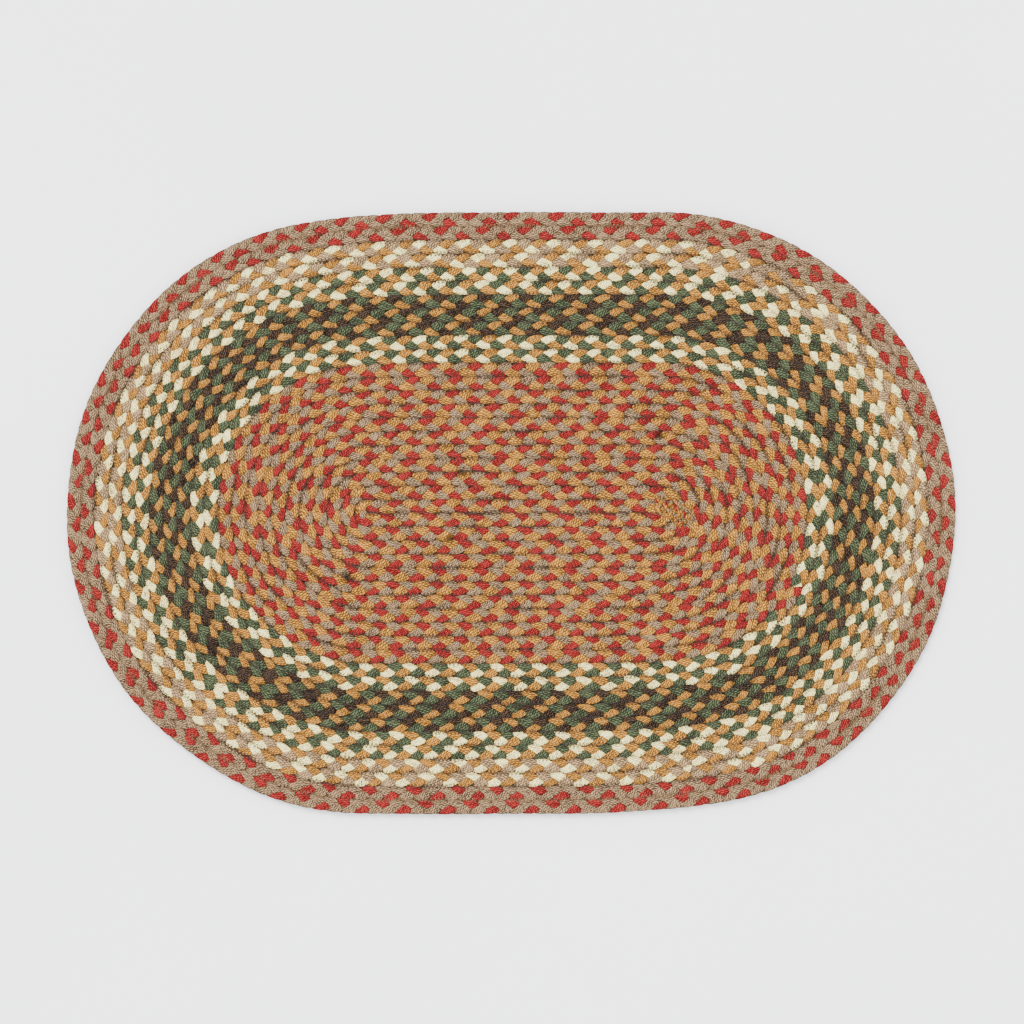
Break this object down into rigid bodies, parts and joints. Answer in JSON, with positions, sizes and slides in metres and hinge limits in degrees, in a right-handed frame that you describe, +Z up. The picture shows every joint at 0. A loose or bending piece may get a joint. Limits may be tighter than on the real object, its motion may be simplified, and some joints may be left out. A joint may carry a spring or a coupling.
{
  "type": "braided rug",
  "caption": "Oval braided jute rug: rounds of coloured braid sewn edge to edge, lying flat as a small floor mat.",
  "frame": {"origin": "centre of the rug's outline on its underside, where it rests on the floor", "axes": "+X along the rug's length, +Y across its width, +Z up out of the braided upper face"},
  "size_m": [0.762, 0.516, 0.008],
  "materials": {
    "jute_braid": "matte plied jute yarn",
    "natural_yarn": "matte undyed jute",
    "red_yarn": "matte dyed jute",
    "ochre_yarn": "matte dyed jute",
    "cream_yarn": "matte bleached jute",
    "taupe_yarn": "matte dyed jute",
    "green_yarn": "matte dyed jute",
    "brown_yarn": "matte dyed jute",
    "sewing_thread": "fine matte thread"
  },
  "bodies": {
    "root": {"braided_rug": "jute_braid"}
  },
  "joints": []
}
